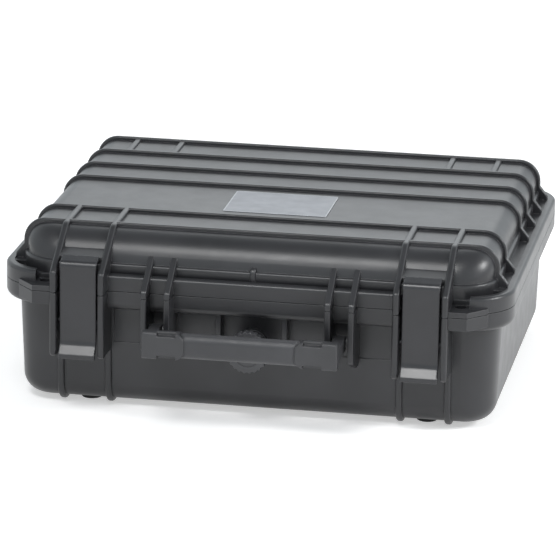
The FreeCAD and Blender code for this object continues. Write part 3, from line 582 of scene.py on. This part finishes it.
def make_lid_foam(material):
    """Egg-crate foam in the lid, with its peaks towards the base."""
    low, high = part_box("lid_foam")
    half_x = (high.x - low.x) / 2
    half_y = (high.y - low.y) / 2
    middle_y = (low.y + high.y) / 2
    mesh = bmesh.new()
    ring = [mesh.verts.new((x, y, low.z)) for x, y in outline(half_x, half_y, lid_foam_corner, middle_y)]
    mesh.faces.new(list(reversed(ring)))
    for axis, reach, middle in ((0, half_x, 0.0), (1, half_y, middle_y)):
        normal = Vector((1 - axis, axis, 0))
        count = int(2 * reach / crate_step)
        for index in range(1, count):
            point = normal * (middle - reach + 2 * reach * index / count)
            everything = mesh.verts[:] + mesh.edges[:] + mesh.faces[:]
            bmesh.ops.bisect_plane(
                mesh, geom=everything, plane_co=point, plane_no=normal, dist=cut_tolerance,
            )
    rim = [edge for edge in mesh.edges if edge.is_boundary]
    sides = bmesh.ops.extrude_edge_only(mesh, edges=rim)["geom"]
    raised = [item for item in sides if isinstance(item, bmesh.types.BMVert)]
    skin = [vert for vert in mesh.verts if vert not in set(raised)]
    for vert in skin:
        edge = min(half_x - abs(vert.co.x), half_y - abs(vert.co.y - middle_y))
        vert.co.z = low.z + crate_height(vert.co.x, vert.co.y - middle_y, edge)
    declare_foam(close_lid_foam(mesh, raised, low, high, material), "lid", "lid_foam")


def close_lid_foam(mesh, raised, low, high, material):
    """Sides and back of the lid foam, drawn in like the crown that it lies in."""
    middle_y = (low.y + high.y) / 2
    half_x = (high.x - low.x) / 2
    half_y = (high.y - low.y) / 2
    shoulder = high.z - lid_foam_front_round * lid_shoulder_share
    for vert in raised:
        vert.co.z = shoulder
    edges = [edge for edge in mesh.edges if edge.is_boundary]
    above = bmesh.ops.extrude_edge_only(mesh, edges=edges)["geom"]
    for vert in [item for item in above if isinstance(item, bmesh.types.BMVert)]:
        vert.co.x *= (half_x - lid_foam_side_round) / half_x
        vert.co.y = middle_y + (vert.co.y - middle_y) * (half_y - lid_foam_front_round) / half_y
        vert.co.z = high.z
    bmesh.ops.holes_fill(mesh, edges=[edge for edge in mesh.edges if edge.is_boundary])
    return piece_from(mesh, "lid_foam_crate", material)


def make_floor():
    """Pale plain floor that keeps the shadow of the case."""
    mesh = bmesh.new()
    bmesh.ops.create_grid(mesh, x_segments=1, y_segments=1, size=floor_size / 2)
    material, tree, shader, _ = new_material("floor_paper")
    shader.inputs["Base Color"].default_value = floor_colour
    shader.inputs["Roughness"].default_value = floor_roughness
    shader.inputs["Emission Color"].default_value = white
    glow = joined(tree, "MULTIPLY", shown_rays(tree), floor_glow)
    tree.links.new(glow, shader.inputs["Emission Strength"])
    piece_from(mesh, "floor", material)


def shown_rays(tree):
    """1 for the rays that show the surroundings: from the camera, in gloss and through glass."""
    path = node(tree, "ShaderNodeLightPath")
    shown = path.outputs["Is Camera Ray"]
    for name in ("Is Glossy Ray", "Is Transmission Ray"):
        shown = joined(tree, "MAXIMUM", shown, path.outputs[name])
    return shown


def make_world():
    """White surroundings to look at below a darker ceiling, and a plain even fill light."""
    world = bpy.data.worlds.new("studio")
    world.use_nodes = True
    tree = world.node_tree
    tree.nodes.clear()
    aim = node(tree, "ShaderNodeTexCoord").outputs["Generated"]
    height = node(tree, "ShaderNodeSeparateXYZ", {"Vector": aim}).outputs["Z"]
    level = ranged(tree, height, backdrop_strength, ceiling_strength, start=ceiling_start, end=ceiling_end)
    fill = node(tree, "ShaderNodeBackground", {"Color": cool_white, "Strength": fill_strength})
    backdrop = node(tree, "ShaderNodeBackground", {"Color": cool_white, "Strength": level})
    mix = node(tree, "ShaderNodeMixShader", {0: shown_rays(tree)})
    tree.links.new(fill.outputs[0], mix.inputs[1])
    tree.links.new(backdrop.outputs[0], mix.inputs[2])
    out = node(tree, "ShaderNodeOutputWorld")
    tree.links.new(mix.outputs[0], out.inputs["Surface"])
    bpy.context.scene.world = world


def aimed(place, target):
    """Matrix of a lamp or camera at a place, looking at a target."""
    place = Vector(place)
    turn = (Vector(target) - place).to_track_quat("-Z", "Y")
    return Matrix.Translation(place) @ turn.to_matrix().to_4x4()


def make_lamps():
    """Soft lamps in front, behind and on the right."""
    for name, facts in lamps.items():
        lamp = bpy.data.lights.new(name, "AREA")
        lamp.shape = "SQUARE"
        lamp.size = facts["size"]
        lamp.energy = facts["power"]
        held = bpy.data.objects.new(name, lamp)
        held.matrix_world = aimed(facts["place"], facts["target"])
        bpy.context.scene.collection.objects.link(held)


def make_camera():
    """Camera at the photograph's viewing angle."""
    camera = bpy.data.cameras.new("photo_camera")
    camera.sensor_width = camera_sensor
    camera.lens = camera_lens
    camera.clip_end = camera_reach
    held = bpy.data.objects.new("photo_camera", camera)
    roll = Matrix.Rotation(math.radians(camera_roll), 4, "Z")
    held.matrix_world = aimed(camera_place, camera_target) @ roll
    bpy.context.scene.collection.objects.link(held)
    bpy.context.scene.camera = held


bpy.context.scene.view_settings.view_transform = "Standard"
materials = make_materials()
dress_nodes(materials)
make_base_pad(materials["foam"])
make_pluck_foam(materials["foam"])
make_lid_foam(materials["foam"])
make_floor()
make_world()
make_lamps()
make_camera()

bpy.context.view_layer.update()
